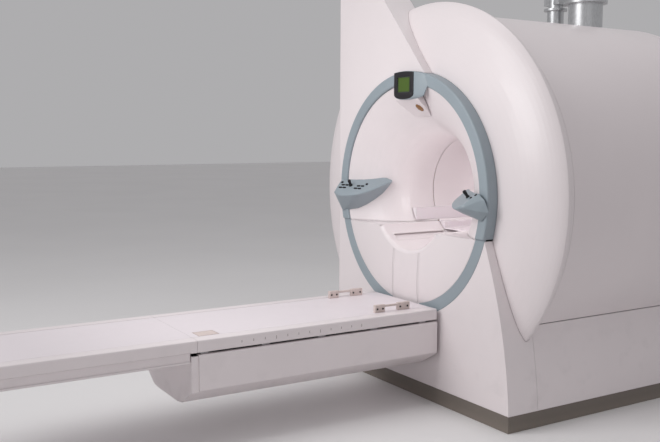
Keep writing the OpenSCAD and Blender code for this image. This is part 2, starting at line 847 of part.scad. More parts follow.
// Two bushed blocks on the posts, a plate between them and the two arm blades
module lift_carriage() {
    color([0.4, 0.42, 0.45]) difference() {
        union() {
            both_sides() {
                block(post_x - 24, post_x + 24, front + 38, front + 82, blade_z, blade_z + blade_h);
                block(blade_x - blade_t / 2, blade_x + blade_t / 2, trough_end - 220, front + 40,
                    blade_z, blade_z + blade_h);
            }
            block(-post_x - 20, post_x + 20, front + 38, front + 50, blade_z, blade_z + blade_h - 40);
            block(-40, 40, front + 38, front + 82, blade_z, blade_z + 60);
        }
        both_sides() translate([post_x, post_y, blade_z - 1]) cylinder(r = post_r + run_gap, h = blade_h + 2);
        translate([0, post_y, blade_z - 1]) cylinder(r = screw_r + 2, h = 80);
        translate([0, post_y, nut_z]) cylinder(r = nut_r + 0.05, h = 80);
    }
}

module lift_nut() {
    color([0.75, 0.6, 0.3]) translate([0, post_y, nut_z]) difference() {
        cylinder(r = nut_r, h = nut_h);
        translate([0, 0, -1]) cylinder(r = screw_r + run_gap, h = nut_h + 2);
    }
}

beam_x = blade_x + blade_t / 2 + seam;
beam_t = 26;
beam_z = 225;
saddle_z = rail_z - 22;
saddles = [for (i = [0 : 4]) trough_end - 60 - i * 295];

module table_frame() {
    color([0.45, 0.47, 0.5]) {
        both_sides() difference() {
            block(beam_x, beam_x + beam_t, trough_foot + 12, trough_end - 12, beam_z, saddle_z + 1);
            block(beam_x + 6, beam_x + beam_t + 1, trough_foot + 11, trough_end - 11,
                beam_z + 8, saddle_z - 8);
        }
        for (y = saddles) block(-table_half + 24.3, table_half - 24.3, y - 40, y, saddle_z, rail_z - seam);
        for (y = saddles) block(-beam_x - 1, beam_x + 1, y - 30, y - 18, saddle_z - 40, saddle_z + 1);
    }
}

// Section of the trough, moved inwards by t
function trough_section(t) = [[table_half - 4.3 - t, trough_top - 4 + (t > 0 ? 5 : 0)],
    [table_half - 4.3 - t, 272 + t * 0.4],
    [172 - t * 0.5, trough_bottom + 6 + t], [120, trough_bottom + t], [-120, trough_bottom + t],
    [-172 + t * 0.5, trough_bottom + 6 + t], [-table_half + 4.3 + t, 272 + t * 0.4],
    [-table_half + 4.3 + t, trough_top - 4 + (t > 0 ? 5 : 0)]];

slide_z = 412;
slide_h = 13;

module trough_shell() {
    color(warm) difference() {
        upright(trough_foot, trough_end, trough_section(0));
        upright(trough_foot + 5, trough_end - 5, trough_section(3.7));
        // Gates for the arm blades and the foot extension's runners
        both_sides() {
            block(blade_x - blade_t, blade_x + blade_t, trough_end - 6, trough_end + 1,
                blade_z - 6, blade_z + blade_h + 6);
            block(runner_x - 14, runner_x + 14, trough_foot - 1, trough_foot + 6,
                slide_z - 4, trough_top + 1);
        }
    }
}

module side_panels() {
    color(warm) both_sides() upright(trough_foot + 34, trough_end - 2,
        [[table_half - 4, 274], [table_half, 278], [table_half, trough_top - 8],
        [table_half - 3, trough_top], [table_half - 24, trough_top],
        [table_half - 24, trough_top - 3.7], [table_half - 4, trough_top - 3.7]]);
}

shelf_z = top_z - board_t - seam;
rail_in = board_half + 2.5;

// Section of a side rail: soft top edge, groove beside the board, shelf under it
module rail_section(y0, y1, low) {
    upright(y0, y1, concat([[table_half - (low < rail_z ? 8 : 3), low],
        [table_half - (low < rail_z ? 8 : 0), rail_z + 1], [table_half, rail_z + 4]],
        [for (a = [0 : 22.5 : 90]) [table_half - 7 + 7 * cos(a), top_z - 7 + 7 * sin(a)]],
        [[rail_in, top_z], [rail_in, shelf_z], [200, shelf_z], [200, rail_z], [table_half - 40, low]]));
}

module table_rails() {
    color(warm) both_sides() difference() {
        rail_section(seam_y + seam, table_end, rail_z);
        // Undercut of the end towards the gantry
        translate([0, table_end, rail_z]) rotate([-15, 0, 0]) block(0, table_half + 5, 0, 40, -30, 80);
    }
}

runner_x = table_half - 30;

// Rails of the foot end, with the runners that reach into the trough
module foot_extension() {
    color(warm) {
        both_sides() {
            rail_section(foot_end, trough_foot - 3, slide_z);
            rail_section(trough_foot - 4, seam_y - seam, rail_z);
            block(runner_x - 10, runner_x + 10, seam_y - 40, seam_y + 600, slide_z, slide_z + slide_h - 1);
            block(table_half - 22, table_half - 3, foot_end, trough_foot - 4, slide_z - 8, slide_z);
        }
        block(-table_half + 6, table_half - 6, foot_end, foot_end + 10, slide_z - 8, top_z - board_t - 1);
    }
}

module board(y0, y1) {
    upright(y0, y1, [[-board_half + 3, top_z - board_t], [board_half - 3, top_z - board_t],
        [board_half, top_z - board_t + 4], [board_half, top_z - 3], [board_half - 3, top_z],
        [-board_half + 3, top_z], [-board_half, top_z - 3], [-board_half, top_z - board_t + 4]]);
}

// The patient board and the fixed board of the foot end behind it
module tabletop() {
    color([0.94, 0.92, 0.93]) {
        board(seam_y + 0.5, table_end - 1);
        board(foot_end + 10 + seam, seam_y - 0.5);
    }
}

drive_z = rail_z + 11.6;

// Motor, pulleys and toothed belt that run the board into the bore
module travel_drive() {
    y0 = seam_y + 60;
    y1 = table_end - 70;
    color(dark) {
        for (y = [y0, y1]) translate([-12, y, drive_z]) rotate([0, 90, 0]) cylinder(r = 9, h = 24);
        difference() {
            union() {
                for (y = [y0, y1]) translate([-10, y, drive_z]) rotate([0, 90, 0]) cylinder(r = 11.3, h = 20);
                block(-10, 10, y0, y1, drive_z - 11.3, drive_z + 11.3);
            }
            for (y = [y0, y1]) translate([-13, y, drive_z]) rotate([0, 90, 0]) cylinder(r = 9.3, h = 26);
            block(-13, 13, y0, y1, drive_z - 9.3, drive_z + 9.3);
        }
        translate([16, y1, drive_z]) rotate([0, 90, 0]) cylinder(r = 11, h = 70);
        translate([-14, y1, drive_z]) rotate([0, 90, 0]) cylinder(r = 4, h = 34);
    }
}

bracket_x = 215;
bracket_len = 210;
bracket_y0 = front - 352;

// Two cream strap brackets near the gantry end of the tabletop
module strap_brackets() {
    color([0.9, 0.85, 0.78]) both_sides() translate([bracket_x, bracket_y0, top_z + 0.2]) {
        block(-9, 9, 0, 58, 0, 38);
        block(-9, 9, bracket_len - 72, bracket_len, 0, 38);
        block(-6, 6, 57, bracket_len - 71, 24, 34);
    }
}

bezel_z0 = axis_h + ring_r - 1 - bezel_h;
housing_y = front - hoop_proud - 0.2;

module display_housing() {
    color(ring_colour) difference() {
        hull() {
            block(-155, 155, housing_y - 1, housing_y, axis_h + ring_r - 12, axis_h + ring_r - 7);
            block(-182, 182, housing_y - 1, housing_y, axis_h + ring_in - 13, axis_h + ring_in - 9);
            block(-148, 148, housing_y - 1, housing_y, bezel_z0 - 9, bezel_z0 - 5);
            block(-bezel_half - 2, bezel_half + 2, housing_y - housing_d, housing_y - housing_d + 1,
                bezel_z0 + 24, axis_h + ring_r - 4);
            block(-50, 50, housing_y - housing_d, housing_y - housing_d + 1, bezel_z0 - 2, bezel_z0 + 20);
        }
        block(-screen_half, screen_half, housing_y - housing_d - 1, housing_y - housing_d + 8,
            screen_z0, screen_z0 + screen_h);
    }
}

screen_half = 52;
screen_h = 77;
screen_z0 = bezel_z0 + 32;

module display_screen() {
    color([0.3, 0.5, 0.1]) block(-screen_half + seam, screen_half - seam,
        housing_y - housing_d - 0.5, housing_y - housing_d + 7.5,
        screen_z0 + seam, screen_z0 + screen_h - seam);
}

// All that lies inside the funnel and in front of the ring
module inside_funnel(gap) {
    round_bore(concat([[0, -300], [ring_r + 30, -300], [ring_r + 30, -hoop_proud - gap],
        [ring_in - gap, -hoop_proud - gap], [ring_in - gap, -2]],
        [for (s = [0 : 9]) [flare(s * funnel_len / 18, funnel_len) - gap, s * funnel_len / 18]],
        [[0, funnel_len / 2]]));
}

module laser_housing() {
    color(warm) intersection() {
        inside_funnel(0.3);
        hull() {
            block(-146, 146, housing_y + 0.5, housing_y + 1.5, bezel_z0 - 8, bezel_z0 + 60);
            block(-118, 118, front + 38, front + 44, axis_h + 480, axis_h + 496);
            block(-70, 70, front + 96, front + 100, axis_h + 411, axis_h + 420);
            block(-66, 66, front + 130, front + 132, axis_h + 411, axis_h + 480);
            block(-140, 140, front + 60, front + 62, axis_h + 500, axis_h + 570);
        }
    }
}

// Outline of a control panel round the joystick: [outwards, up the slope]
panel_edge = [[84, 50], [84, 4], [80, -38], [72, -64], [58, -77], [40, -84], [20, -86], [0, -86],
    [-46, -80], [-85, -69], [-126, -46], [-160, -20], [-197, 20], [-224, 46], [-242, 62],
    [-195, 84], [-66, 80], [64, 72]];

// Panel axes: X outwards, Y up the slope, Z out of the panel, from the joystick's foot
module on_panel() {
    translate([stick_x, front - stick_out, axis_h + stick_up])
        rotate([0, 0, -panel_yaw]) rotate([panel_tilt, 0, 0]) children();
}

// Points of the body's underside: [from the middle, before the front face, above the axis]
body_keel = [[609, -16, -134], [556, 3, -126], [508, 28, -116], [464, 59, -92], [427, 89, -61],
    [397, 119, -28], [379, 139, 3], [364, 155, 42], [420, 170, 0], [560, 60, -60]];
body_belly = [[574, -62, -68], [533, -56, -78], [497, -40, -82], [452, -8, -66], [412, 32, -38],
    [383, 68, -8]];
// Outer flank towards the hoop
body_flank = [[646, -13, 22], [652, -13, -54], [622, -52, -46], [606, -60, 0], [574, -98, -22]];
lip_t = 8;

module console_body() {
    intersection() {
        inside_funnel(0.3);
        hull() {
            on_panel() translate([0, 0, -0.5]) linear_extrude(0.5) polygon(panel_edge);
            translate([0, 0, -lip_t]) on_panel() translate([0, 0, -0.5]) linear_extrude(0.5)
                polygon(panel_edge);
            for (p = concat(body_keel, body_belly, body_flank))
                translate([p[0], front + p[1], axis_h + p[2]]) cube(0.5, center = true);
        }
    }
}

// Places of the buttons in the panel's axes
oblong_places = [[51, 2], [25.5, 2], [58, -23], [32.5, -23],
    [-54, -3], [-79.5, -3], [-44, -26], [-69.5, -27]];
round_places = [[68, 25], [-99, 16]];
well_gap = 0.35;
well_depth = 11;
button_floor = 8;

module stadium(l, w, h) {
    translate([-(l - w) / 2, 0, 0]) cylinder(r = w / 2, h = h);
    translate([(l - w) / 2, 0, 0]) cylinder(r = w / 2, h = h);
    translate([-(l - w) / 2, -w / 2, 0]) cube([l - w, w, h]);
}

module at_place(p, w) {
    on_panel() translate([p[0], p[1], w]) children();
}

module wells(oblongs, rounds) {
    for (i = oblongs) at_place(oblong_places[i], -well_depth)
        stadium(oblong_l + 2 * well_gap, oblong_w + 2 * well_gap, well_depth + 60);
    for (i = rounds) at_place(round_places[i], -well_depth)
        cylinder(r = round_r + well_gap, h = well_depth + 60);
}

ball_r = 11;
ball_w = -8;

module stick_well() {
    at_place([0, 0], -20) cylinder(r = ball_r + 0.3, h = 90);
}

module key(i) {
    color(dark) at_place(oblong_places[i], -button_floor)
        stadium(oblong_l, oblong_w, button_floor + button_proud);
}

module round_button(i) {
    color(dark) at_place(round_places[i], -button_floor)
        cylinder(r = round_r, h = button_floor + button_proud + 1);
}

module left_key(i) mirror([1, 0, 0]) key(i);
module left_round(i) mirror([1, 0, 0]) round_button(i);
module left_key_1() left_key(0);
module left_key_2() left_key(1);
module left_key_3() left_key(2);
module left_key_4() left_key(3);
module left_key_5() left_key(4);
module left_key_6() left_key(5);
module left_key_7() left_key(6);
module left_key_8() left_key(7);
module left_round_button_outer() left_round(0);
module left_round_button_inner() left_round(1);
module right_key_1() key(0);
module right_round_button_outer() round_button(0);
module right_round_button_inner() round_button(1);

module joystick() {
    color(dark) at_place([0, 0], 0) {
        translate([0, 0, ball_w]) sphere(r = ball_r);
        translate([0, 0, ball_w]) cylinder(r = stick_r, h = stick_len - ball_w - 3);
        translate([0, 0, stick_len - 3.01]) cylinder(r1 = stick_r, r2 = stick_r - 3, h = 3);
    }
}

module console_right() {
    color(ring_colour) difference() {
        console_body();
        wells([0], [0, 1]);
        stick_well();
    }
}

module console_left() {
    color(ring_colour) mirror([1, 0, 0]) difference() {
        console_body();
        wells([for (i = [0 : 7]) i], [0, 1]);
        stick_well();
    }
}

module joystick_right() joystick();
module joystick_left() mirror([1, 0, 0]) joystick();

plinth();
front_cover();
drum_front_cover();
drum_side_covers();
rear_cover();
side_skirts();
ring_hoop();
ring_inlay();
front_funnel();
bib_panel();
bore_liner();
bore_bridge();
body_coil();
gradient_coil();
vacuum_vessel();
thermal_shield();
helium_vessel();
coil_former();
magnet_coils();
suspension_rods();
magnet_feet();
cover_frame();
service_turret();
lift_base();
lift_brackets();
guide_posts();
lift_screw();
lift_motor();
motor_pulley();
lift_belt();
lift_carriage();
lift_nut();
table_frame();
trough_shell();
side_panels();
table_rails();
foot_extension();
tabletop();
travel_drive();
strap_brackets();
display_housing();
display_screen();
laser_housing();
console_left();
console_right();
joystick_left();
joystick_right();
left_key_1();
left_key_2();
left_key_3();
left_key_4();
left_key_5();
left_key_6();
left_key_7();
left_key_8();
left_round_button_outer();
left_round_button_inner();
right_key_1();
right_round_button_outer();
right_round_button_inner();
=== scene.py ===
"""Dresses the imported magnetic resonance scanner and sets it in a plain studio."""
import json
import math
import bmesh
import bpy
from bpy.props import FloatProperty, FloatVectorProperty, PointerProperty
from mathutils import Matrix, Vector
from mathutils.bvhtree import BVHTree


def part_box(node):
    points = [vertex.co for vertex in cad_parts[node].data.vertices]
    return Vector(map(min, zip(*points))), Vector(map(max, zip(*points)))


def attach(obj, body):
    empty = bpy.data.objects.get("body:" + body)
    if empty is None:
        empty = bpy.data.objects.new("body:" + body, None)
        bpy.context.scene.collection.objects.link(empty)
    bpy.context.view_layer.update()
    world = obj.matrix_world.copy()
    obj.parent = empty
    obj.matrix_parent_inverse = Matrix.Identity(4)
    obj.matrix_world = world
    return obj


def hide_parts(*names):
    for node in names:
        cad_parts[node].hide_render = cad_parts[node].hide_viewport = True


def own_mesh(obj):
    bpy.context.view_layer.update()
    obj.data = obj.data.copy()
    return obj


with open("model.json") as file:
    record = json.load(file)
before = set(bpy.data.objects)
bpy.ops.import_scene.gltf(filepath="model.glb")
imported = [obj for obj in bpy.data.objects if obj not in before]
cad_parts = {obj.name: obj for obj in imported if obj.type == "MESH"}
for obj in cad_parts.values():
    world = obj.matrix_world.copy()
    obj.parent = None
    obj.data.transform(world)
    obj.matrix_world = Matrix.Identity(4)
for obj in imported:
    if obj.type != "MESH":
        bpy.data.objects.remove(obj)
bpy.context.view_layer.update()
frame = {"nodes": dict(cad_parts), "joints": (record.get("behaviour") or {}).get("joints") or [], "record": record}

bl_info = {
    "name": "Magnetic resonance scanner",
    "version": (1, 0, 0),
    "blender": (4, 5, 0),
    "location": "View3D > Sidebar > Scanner",
    "description": "Dresses the covers, controls, table and magnet of a scanner",
    "category": "Object",
}

NODES = frame["nodes"]


def low(node):
    return Vector(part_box(node)[0])


def high(node):
    return Vector(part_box(node)[1])


# Places that the pieces share, read from the frame
AXIS = (low("bore_liner").z + high("bore_liner").z) / 2
FRONT = low("front_cover").y
HOOP_FACE = low("ring_hoop").y
TABLE_TOP = high("tabletop").z
TABLE_HALF = high("table_rails").x
# Outer radius of the coloured ring
RING_OUT = 0.640
# Slope of the control panels, and how far they turn towards the bore
PANEL_TILT = math.radians(34)
PANEL_YAW = math.radians(27)
# The camera's place, and its turns about Z, X and its own axis
CAMERA_PLACE = (3.66195, -3.52983, 1.39351)
CAMERA_TURNS = ((58.4181, "Z"), (90 - 5.9543, "X"), (0.2253, "Z"))
AIR_COLOUR = (0.94, 0.93, 0.95)
AIR_STRENGTH = 0.45
FLOOR_COLOURS = ((0.80, 0.785, 0.785), (0.82, 0.805, 0.805))
# Name, place, target, width in metres and power in watts of each lamp
LAMPS = (
    ("front", (-0.6, -5.6, 3.9), (0, -0.6, 0.9), 3.5, 104),
    ("side", (4.6, -1.8, 3.8), (0.6, -0.2, 0.9), 3.5, 8),
    ("top", (0.5, 0.2, 5.6), (0, 0, 0), 4.5, 56),
    ("mouth", (0.15, -2.3, 1.75), (0, -0.3, 0.98), 0.8, 7.5),
    ("bore", (0.0, 0.05, 1.30), (0, 0.05, 0.5), 0.3, 0.9),
    ("rim", (0.22, -0.66, 1.20), (-0.3, -0.55, 0.9), 0.2, 0.8),
)


# Settings


def colour(name, text, default):
    return FloatVectorProperty(
        name=name, description=text, default=default, size=3, min=0.0, max=1.0, subtype="COLOR"
    )


def length(name, text, default, top=10.0):
    return FloatProperty(
        name=name, description=text, default=default, min=0.0, max=top, unit="LENGTH"
    )


class ScannerFinishes(bpy.types.PropertyGroup):
    cover: colour("Covers", "Moulded covers, funnel and table", (0.79, 0.725, 0.735))
    ring: colour("Ring", "Ring, consoles and display housing", (0.30, 0.35, 0.385))
    plinth: colour("Plinth", "Kick band round the foot", (0.17, 0.145, 0.125))
    board: colour("Tabletop", "Patient board", (0.80, 0.735, 0.765))
    bracket: colour("Brackets", "Strap brackets", (0.66, 0.56, 0.53))
    control: colour("Controls", "Keys and joysticks", (0.007, 0.005, 0.008))
    screen: colour("Screen", "Lit liquid crystal", (0.050, 0.095, 0.004))


class ScannerSizes(bpy.types.PropertyGroup):
    edge: length("Moulded edge", "Rounding of the covers' edges", 0.006, 0.03)
    key_edge: length("Key edge", "Rounding of the keys", 0.0018, 0.005)
    lens: FloatProperty(
        name="Lens", description="Focal length of the camera in millimetres",
        default=47.01, min=10, max=300, unit="CAMERA",
    )


# Shader maths

# Place of the colour among a Mix node's results
COLOUR_RESULT = 2


class Nodes:
    """Adds nodes to a material's tree."""

    def node(self, kind, settings=None, output=0, **sockets):
        """Adds a node, its settings first, and sets or links its sockets."""
        node = self.tree.nodes.new(kind)
        for key, value in (settings or {}).items():
            setattr(node, key, value)
        for key, value in sockets.items():
            join(self.tree, value, self.find(node, key))
        return Wire(self.tree, node.outputs[output])

    @staticmethod
    def find(node, key):
        wanted = key.replace("_", " ").lower()
        for slot in node.inputs:
            if slot.name.lower() == wanted and slot.enabled:
                return slot
        raise KeyError(f"{node.bl_idname} has no socket {key}")


class Wire(Nodes):
    """A shader socket that takes part in Python expressions."""

    def __init__(self, tree, socket):
        self.tree = tree
        self.socket = socket

    def maths(self, operation, *others):
        node = self.tree.nodes.new("ShaderNodeMath")
        node.operation = operation
        for slot, value in zip(node.inputs, (self,) + others):
            join(self.tree, value, slot)
        return Wire(self.tree, node.outputs[0])

    def __add__(self, other):
        return self.maths("ADD", other)

    def __radd__(self, other):
        return self.maths("ADD", other)

    def __sub__(self, other):
        return self.maths("SUBTRACT", other)

    def __rsub__(self, other):
        flipped = self.maths("MULTIPLY", -1.0)
        return flipped.maths("ADD", other)

    def __mul__(self, other):
        return self.maths("MULTIPLY", other)

    def __rmul__(self, other):
        return self.maths("MULTIPLY", other)

    def absolute(self):
        return self.maths("ABSOLUTE")

    def sine(self):
        return self.maths("SINE")

    def fade(self, start, end):
        """0 at start, 1 at end, soft between them."""
        return self.node(
            "ShaderNodeMapRange", {"interpolation_type": "SMOOTHSTEP"},
            value=self, from_min=start, from_max=end,
        )


def join(tree, value, slot):
    """Links a wire to a socket, or sets a plain value on it."""
    if isinstance(value, Wire):
        tree.links.new(value.socket, slot)
    elif value is not None:
        slot.default_value = value


class Shader(Nodes):
    """A material's node tree with its principled shader."""

    def __init__(self, name):
        self.material = bpy.data.materials.new(name)
        self.material.use_nodes = True
        self.tree = self.material.node_tree
        self.main = self.tree.nodes["Principled BSDF"]
        # The point in metres, in the object's own frame
        self.place = self.node("ShaderNodeTexCoord", output="Object")

    def axes(self):
        split = self.node("ShaderNodeSeparateXYZ", vector=self.place)
        return [Wire(self.tree, out) for out in split.socket.node.outputs]

    def noise(self, scale, detail=3.0, roughness=0.5):
        return self.node(
            "ShaderNodeTexNoise", vector=self.place,
            scale=scale, detail=detail, roughness=roughness,
        )

    def mix(self, factor, first, second):
        """Two colours mixed by a factor."""
        return self.node(
            "ShaderNodeMix", {"data_type": "RGBA"}, output=COLOUR_RESULT,
            factor=factor, a=tint(first), b=tint(second),
        )

    def bevelled(self, radius):
        return self.node("ShaderNodeBevel", {"samples": 6}, radius=radius)

    def bump(self, height, depth, normal):
        return self.node(
            "ShaderNodeBump", height=height, distance=depth, strength=1.0, normal=normal,
        )

    def finish(self, base, roughness, metallic=0.0, normal=None, coat=None):
        sockets = (
            ("Base Color", tint(base)), ("Roughness", roughness), ("Metallic", metallic),
            ("Normal", normal), ("Coat Weight", coat),
        )
        for key, value in sockets:
            join(self.tree, value, self.main.inputs[key])
        return self.material


def tint(rgb):
    """A colour as a shader socket takes it."""
    return rgb if isinstance(rgb, Wire) else (*rgb, 1.0)


def shade(rgb, factor):
    return tuple(min(1.0, c * factor) for c in rgb)


# Finishes


def moulded_cover(name, rgb, edge, gloss=0.38):
    """Sprayed glass-fibre cover: fine orange peel, faint yellowing and soft edges."""
    s = Shader(name)
    cloud = s.noise(1.3, 4.0)
    peel = s.noise(420.0, 2.0)
    height = s.axes()[2]
    scuffed = (1 - height.fade(0.05, 0.75)) * s.noise(9.0, 6.0).fade(0.52, 0.75)
    base = s.mix(cloud.fade(0.3, 0.7), shade(rgb, 0.975), shade(rgb, 1.02))
    base = s.mix(scuffed * 0.35, base, shade(rgb, 0.80))
    normal = s.bump(peel, 0.00005, s.bevelled(edge))
    return s.finish(base, gloss + scuffed * 0.15, normal=normal, coat=0.12)


def moulded_ring(name, rgb, edge):
    """Satin blue-grey moulding with a fine grain."""
    s = Shader(name)
    grain = s.noise(900.0, 2.0)
    cloud = s.noise(2.1, 3.0)
    base = s.mix(cloud.fade(0.3, 0.7), shade(rgb, 0.96), shade(rgb, 1.04))
    normal = s.bump(grain, 0.00006, s.bevelled(edge))
    return s.finish(base, 0.42 + cloud * 0.06, normal=normal)


def kick_band(name, rgb):
    """Matt kick band with scuffs and a dusty lower edge."""
    s = Shader(name)
    height = s.axes()[2]
    dust = 1 - height.fade(0.0, 0.05)
    marks = s.noise(26.0, 8.0, 0.65).fade(0.55, 0.72)
    base = s.mix(dust * 0.5, rgb, shade(rgb, 1.5))
    base = s.mix(marks * 0.4, base, shade(rgb, 1.35))
    normal = s.bump(s.noise(700.0), 0.0001, s.bevelled(0.003))
    return s.finish(base, 0.62 + marks * 0.15, normal=normal)


def board_finish(name, rgb):
    """Satin glass-fibre board, a little worn along its middle."""
    s = Shader(name)
    x = s.axes()[0]
    worn = (1 - x.absolute().fade(0.10, 0.22)) * s.noise(3.0, 5.0).fade(0.4, 0.7)
    weave = s.noise(1500.0, 1.0)
    base = s.mix(worn * 0.5, rgb, shade(rgb, 0.93))
    return s.finish(base, 0.34 + worn * 0.14, normal=s.bump(weave, 0.00003, s.bevelled(0.003)))


def cast_cream(name, rgb):
    """Cream moulded plastic with a fine spark-eroded grain."""
    s = Shader(name)
    speck = s.noise(60.0, 6.0)
    base = s.mix(speck.fade(0.35, 0.7), shade(rgb, 0.94), shade(rgb, 1.04))
    return s.finish(base, 0.5, normal=s.bump(s.noise(1300.0), 0.00008, s.bevelled(0.004)))


def black_control(name, rgb):
    """Black moulded plastic, rubbed a little grey."""
    s = Shader(name)
    grain = s.noise(1800.0, 2.0)
    rub = s.noise(160.0, 4.0).fade(0.5, 0.8)
    base = s.mix(rub * 0.3, rgb, shade(rgb, 2.2))
    return s.finish(base, 0.48 + rub * 0.2, normal=s.bump(grain, 0.00003, s.bevelled(0.0015)))


def lit_screen(name, rgb):
    """Dim green liquid crystal, brighter in the middle, behind clear glass."""
    s = Shader(name)
    x, _, z = s.axes()
    middle = (low("display_screen") + high("display_screen")) / 2
    size = high("display_screen") - low("display_screen")
    across = ((x - middle.x) * (1 / size.x)).absolute()
    up = ((z - middle.z) * (1 / size.z)).absolute()
    rim = 1 - (1 - across.fade(0.36, 0.5)) * (1 - up.fade(0.38, 0.5))
    cells = ((x * 900.0).sine() * (z * 900.0).sine()).fade(-0.4, 0.4)
    base = s.mix(rim * 0.6 + cells * 0.08, rgb, shade(rgb, 0.35))
    s.finish(base, 0.3, coat=0.2)
    join(s.tree, base, s.main.inputs["Emission Color"])
    s.main.inputs["Emission Strength"].default_value = 0.2
    return s.material


def metal(name, rgb, roughness, streak):
    """Metal with machining or rolling marks along one axis."""
    s = Shader(name)
    mapped = s.node("ShaderNodeMapping", vector=s.place, scale=streak)
    marks = s.node("ShaderNodeTexNoise", vector=mapped, scale=6.0, detail=4.0)
    base = s.mix(marks.fade(0.3, 0.7), shade(rgb, 0.88), shade(rgb, 1.06))
    normal = s.bump(marks, 0.00006, s.bevelled(0.002))
    return s.finish(base, roughness + (marks - 0.5) * 0.16, 1.0, normal)


def plain_paint(name, rgb, roughness, grain=500.0, edge=0.002):
    """An even coat, clouded and grained a little."""
    s = Shader(name)
    cloud = s.noise(5.0, 5.0)
    base = s.mix(cloud.fade(0.3, 0.75), shade(rgb, 0.9), shade(rgb, 1.08))
    normal = s.bump(s.noise(grain), 0.00008, s.bevelled(edge))
    return s.finish(base, roughness + cloud * 0.1, normal=normal)


def make_finishes():
    f = bpy.context.scene.scanner_finishes
    z = bpy.context.scene.scanner_sizes
    return {
        "cover_white": moulded_cover("cover_white", f.cover, z.edge),
        "ring_grey": moulded_ring("ring_grey", f.ring, 0.004),
        "plinth_brown": kick_band("plinth_brown", f.plinth),
        "board_white": board_finish("board_white", f.board),
        "bracket_cream": cast_cream("bracket_cream", f.bracket),
        "frame_steel": plain_paint("frame_steel", (0.10, 0.11, 0.125), 0.45),
        "bare_steel": metal("bare_steel", (0.58, 0.59, 0.61), 0.28, (30.0, 30.0, 400.0)),
        "vessel_steel": metal("vessel_steel", (0.62, 0.63, 0.64), 0.38, (8.0, 60.0, 8.0)),
        "shield_aluminium": metal(
            "shield_aluminium", (0.72, 0.73, 0.75), 0.3, (12.0, 90.0, 12.0)),
        "coil_copper": metal("coil_copper", (0.72, 0.33, 0.18), 0.34, (20.0, 700.0, 20.0)),
        "nut_bronze": metal("nut_bronze", (0.66, 0.45, 0.17), 0.3, (60.0, 60.0, 500.0)),
        "coil_resin": plain_paint("coil_resin", (0.20, 0.115, 0.055), 0.42, 300.0),
        "control_black": black_control("control_black", f.control),
        "belt_rubber": plain_paint("belt_rubber", (0.02, 0.02, 0.021), 0.75, 1200.0),
        "screen_glass": lit_screen("screen_glass", f.screen),
        "amber_glass": plain_paint("amber_glass", (0.27, 0.11, 0.012), 0.12, 200.0, 0.001),
    }


FINISH = {}


def finish_node(node, slot):
    mesh = NODES[node].data
    mesh.materials.clear()
    mesh.materials.append(FINISH[slot])


# Shaping


def new_piece(name, mesh):
    piece = bpy.data.objects.new(name, mesh)
    bpy.context.scene.collection.objects.link(piece)
    return piece


def from_bmesh(name, work, smooth_angle=35):
    """Turns a bmesh into a piece, smooth up to the given angle."""
    mesh = bpy.data.meshes.new(name)
    work.to_mesh(mesh)
    work.free()
    mesh.shade_smooth()
    mesh.set_sharp_from_angle(angle=math.radians(smooth_angle))
    return new_piece(name, mesh)


def settle(piece, smooth_angle=35):
    """Applies the piece's modifiers."""
    graph = bpy.context.evaluated_depsgraph_get()
    mesh = bpy.data.meshes.new_from_object(piece.evaluated_get(graph))
    piece.modifiers.clear()
    piece.data = mesh
    mesh.shade_smooth()
    mesh.set_sharp_from_angle(angle=math.radians(smooth_angle))
    return piece


def bevel(piece, width, segments=3, angle=30):
    """Rounds the piece's edges that are sharper than the angle."""
    cut = piece.modifiers.new("edges", "BEVEL")
    cut.width = width
    cut.segments = segments
    cut.limit_method = "ANGLE"
    cut.angle_limit = math.radians(angle)
    return settle(piece)


def solid_copy(name, node):
    """A copy of a frame node's shape, with its flat faces whole again."""
    work = bmesh.new()
    work.from_mesh(NODES[node].data)
    bmesh.ops.remove_doubles(work, verts=work.verts, dist=1e-5)
    bmesh.ops.dissolve_limit(
        work, angle_limit=math.radians(0.8), verts=work.verts, edges=work.edges
    )
    return from_bmesh(name, work)


def softened(name, node, voxel, rounds):
    """A frame node's shape with every edge rubbed round, as a moulding has it."""
    piece = solid_copy(name, node)
    grid = piece.modifiers.new("grid", "REMESH")
    grid.mode = "VOXEL"
    grid.voxel_size = voxel
    rub = piece.modifiers.new("rub", "SMOOTH")
    rub.factor = 0.5
    rub.iterations = rounds
    thin = piece.modifiers.new("thin", "DECIMATE")
    thin.ratio = 0.3
    return settle(piece, 50)


def rounded(name, node, width, segments=3):
    """A frame node's shape with its sharp edges bevelled."""
    return bevel(solid_copy(name, node), width, segments)


def cut_away(piece, tool, smooth_angle=35):
    """Takes the tool's shape out of the piece and removes the tool."""
    cut = piece.modifiers.new("cut", "BOOLEAN")
    cut.object = tool
    cut.solver = "EXACT"
    settle(piece, smooth_angle)
    bpy.data.objects.remove(tool)
    return piece


def lofted(name, outlines):
    """A closed piece skinned over a row of outlines with the same number of points."""
    work = bmesh.new()
    rings = [[work.verts.new(point) for point in outline] for outline in outlines]
    count = len(rings[0])
    for first, second in zip(rings, rings[1:]):
        for k in range(count):
            follow = (k + 1) % count
            work.faces.new([first[k], first[follow], second[follow], second[k]])
    work.faces.new(rings[0])
    work.faces.new(rings[-1])
    bmesh.ops.recalc_face_normals(work, faces=work.faces)
    return from_bmesh(name, work)


def prism(name, outline, y0, y1):
    """A flat outline of (x, z) points drawn out along Y."""
    work = bmesh.new()
    ring = [work.verts.new((x, y0, z)) for x, z in outline]
    face = work.faces.new(ring)
    side = bmesh.ops.extrude_face_region(work, geom=[face])
    moved = [v for v in side["geom"] if isinstance(v, bmesh.types.BMVert)]
    bmesh.ops.translate(work, verts=moved, vec=(0, y1 - y0, 0))
    bmesh.ops.recalc_face_normals(work, faces=work.faces)
    return from_bmesh(name, work, 30)


